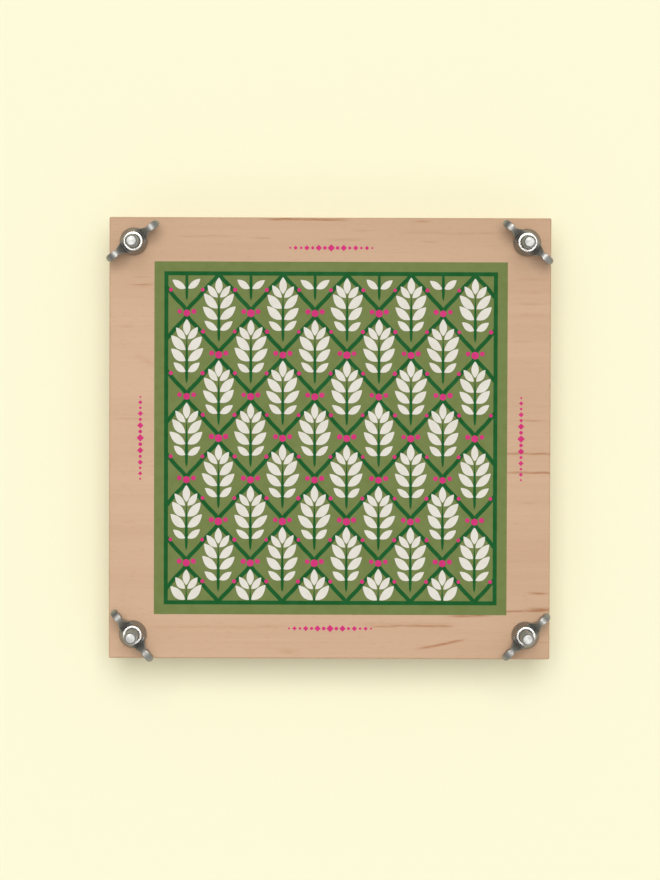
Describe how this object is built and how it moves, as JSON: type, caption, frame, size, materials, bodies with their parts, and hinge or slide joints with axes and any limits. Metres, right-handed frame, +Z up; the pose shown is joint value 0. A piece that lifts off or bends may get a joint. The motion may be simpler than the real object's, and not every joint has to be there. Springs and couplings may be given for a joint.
{
  "type": "flower press",
  "caption": "Square wooden flower press: two plywood boards clamp corrugated cards and blotting papers with carriage bolts and wing nuts at the corners.",
  "frame": {"origin": "centre of the lower board's underside, where the press stands", "axes": "+Z up along the bolts, +X right and +Y back as the closed press is seen from above"},
  "size_m": [0.2013, 0.2007, 0.0686],
  "materials": {
    "plywood": "sanded pale plywood, grain along X",
    "zinc_steel": "bright zinc plate",
    "cast_zinc": "zinc plated casting, worn bright on the high edges",
    "card": "brown corrugated card",
    "blotter": "soft white blotting paper"
  },
  "bodies": {
    "base": {"base_board": "plywood", "carriage_bolts": "zinc_steel"},
    "corrugated_card_1": {"corrugated_card_1": "card"},
    "blotting_paper_1": {"blotting_paper_1": "blotter"},
    "blotting_paper_2": {"blotting_paper_2": "blotter"},
    "corrugated_card_2": {"corrugated_card_2": "card"},
    "blotting_paper_3": {"blotting_paper_3": "blotter"},
    "blotting_paper_4": {"blotting_paper_4": "blotter"},
    "corrugated_card_3": {"corrugated_card_3": "card"},
    "blotting_paper_5": {"blotting_paper_5": "blotter"},
    "blotting_paper_6": {"blotting_paper_6": "blotter"},
    "corrugated_card_4": {"corrugated_card_4": "card"},
    "blotting_paper_7": {"blotting_paper_7": "blotter"},
    "blotting_paper_8": {"blotting_paper_8": "blotter"},
    "corrugated_card_5": {"corrugated_card_5": "card"},
    "top_board": {"top_board": "plywood"},
    "washer_front_left": {"washer_front_left": "zinc_steel"},
    "wing_nut_front_left": {"wing_nut_front_left": "cast_zinc"},
    "washer_front_right": {"washer_front_right": "zinc_steel"},
    "wing_nut_front_right": {"wing_nut_front_right": "cast_zinc"},
    "washer_back_left": {"washer_back_left": "zinc_steel"},
    "wing_nut_back_left": {"wing_nut_back_left": "cast_zinc"},
    "washer_back_right": {"washer_back_right": "zinc_steel"},
    "wing_nut_back_right": {"wing_nut_back_right": "cast_zinc"}
  },
  "joints": [
    {"name": "card_1_lift", "type": "slide", "parent": "base", "child": "corrugated_card_1", "axis": [0, 0, 1], "range_m": [0, 0.061]},
    {"name": "blotter_1_lift", "type": "slide", "parent": "corrugated_card_1", "child": "blotting_paper_1", "axis": [0, 0, 1], "range_m": [0, 0.058]},
    {"name": "blotter_2_lift", "type": "slide", "parent": "blotting_paper_1", "child": "blotting_paper_2", "axis": [0, 0, 1], "range_m": [0, 0.057]},
    {"name": "card_2_lift", "type": "slide", "parent": "blotting_paper_2", "child": "corrugated_card_2", "axis": [0, 0, 1], "range_m": [0, 0.057]},
    {"name": "blotter_3_lift", "type": "slide", "parent": "corrugated_card_2", "child": "blotting_paper_3", "axis": [0, 0, 1], "range_m": [0, 0.053]},
    {"name": "blotter_4_lift", "type": "slide", "parent": "blotting_paper_3", "child": "blotting_paper_4", "axis": [0, 0, 1], "range_m": [0, 0.053]},
    {"name": "card_3_lift", "type": "slide", "parent": "blotting_paper_4", "child": "corrugated_card_3", "axis": [0, 0, 1], "range_m": [0, 0.052]},
    {"name": "blotter_5_lift", "type": "slide", "parent": "corrugated_card_3", "child": "blotting_paper_5", "axis": [0, 0, 1], "range_m": [0, 0.049]},
    {"name": "blotter_6_lift", "type": "slide", "parent": "blotting_paper_5", "child": "blotting_paper_6", "axis": [0, 0, 1], "range_m": [0, 0.048]},
    {"name": "card_4_lift", "type": "slide", "parent": "blotting_paper_6", "child": "corrugated_card_4", "axis": [0, 0, 1], "range_m": [0, 0.048]},
    {"name": "blotter_7_lift", "type": "slide", "parent": "corrugated_card_4", "child": "blotting_paper_7", "axis": [0, 0, 1], "range_m": [0, 0.045]},
    {"name": "blotter_8_lift", "type": "slide", "parent": "blotting_paper_7", "child": "blotting_paper_8", "axis": [0, 0, 1], "range_m": [0, 0.044]},
    {"name": "card_5_lift", "type": "slide", "parent": "blotting_paper_8", "child": "corrugated_card_5", "axis": [0, 0, 1], "range_m": [0, 0.043]},
    {"name": "top_board_lift", "type": "slide", "parent": "corrugated_card_5", "child": "top_board", "axis": [0, 0, 1], "range_m": [0, 0.04]},
    {"name": "wing_nut_front_left_turn", "type": "hinge", "parent": "top_board", "child": "washer_front_left", "pos_m": [-0.089, -0.089, 0.0404], "axis": [0, 0, 1], "range_deg": [0, 10440]},
    {"name": "wing_nut_front_left_climb", "type": "slide", "parent": "washer_front_left", "child": "wing_nut_front_left", "axis": [0, 0, 1], "range_m": [0, 0.0291]},
    {"name": "wing_nut_front_right_turn", "type": "hinge", "parent": "top_board", "child": "washer_front_right", "pos_m": [0.089, -0.089, 0.0404], "axis": [0, 0, 1], "range_deg": [0, 10440]},
    {"name": "wing_nut_front_right_climb", "type": "slide", "parent": "washer_front_right", "child": "wing_nut_front_right", "axis": [0, 0, 1], "range_m": [0, 0.0291]},
    {"name": "wing_nut_back_left_turn", "type": "hinge", "parent": "top_board", "child": "washer_back_left", "pos_m": [-0.089, 0.089, 0.0404], "axis": [0, 0, 1], "range_deg": [0, 10440]},
    {"name": "wing_nut_back_left_climb", "type": "slide", "parent": "washer_back_left", "child": "wing_nut_back_left", "axis": [0, 0, 1], "range_m": [0, 0.0291]},
    {"name": "wing_nut_back_right_turn", "type": "hinge", "parent": "top_board", "child": "washer_back_right", "pos_m": [0.089, 0.089, 0.0404], "axis": [0, 0, 1], "range_deg": [0, 10440]},
    {"name": "wing_nut_back_right_climb", "type": "slide", "parent": "washer_back_right", "child": "wing_nut_back_right", "axis": [0, 0, 1], "range_m": [0, 0.0291]}
  ],
  "couplings": [
    {"joint": "wing_nut_front_left_climb", "follows": "wing_nut_front_left_turn", "m_per_rad": 0.00015915},
    {"joint": "wing_nut_front_right_climb", "follows": "wing_nut_front_right_turn", "m_per_rad": 0.00015915},
    {"joint": "wing_nut_back_left_climb", "follows": "wing_nut_back_left_turn", "m_per_rad": 0.00015915},
    {"joint": "wing_nut_back_right_climb", "follows": "wing_nut_back_right_turn", "m_per_rad": 0.00015915}
  ]
}
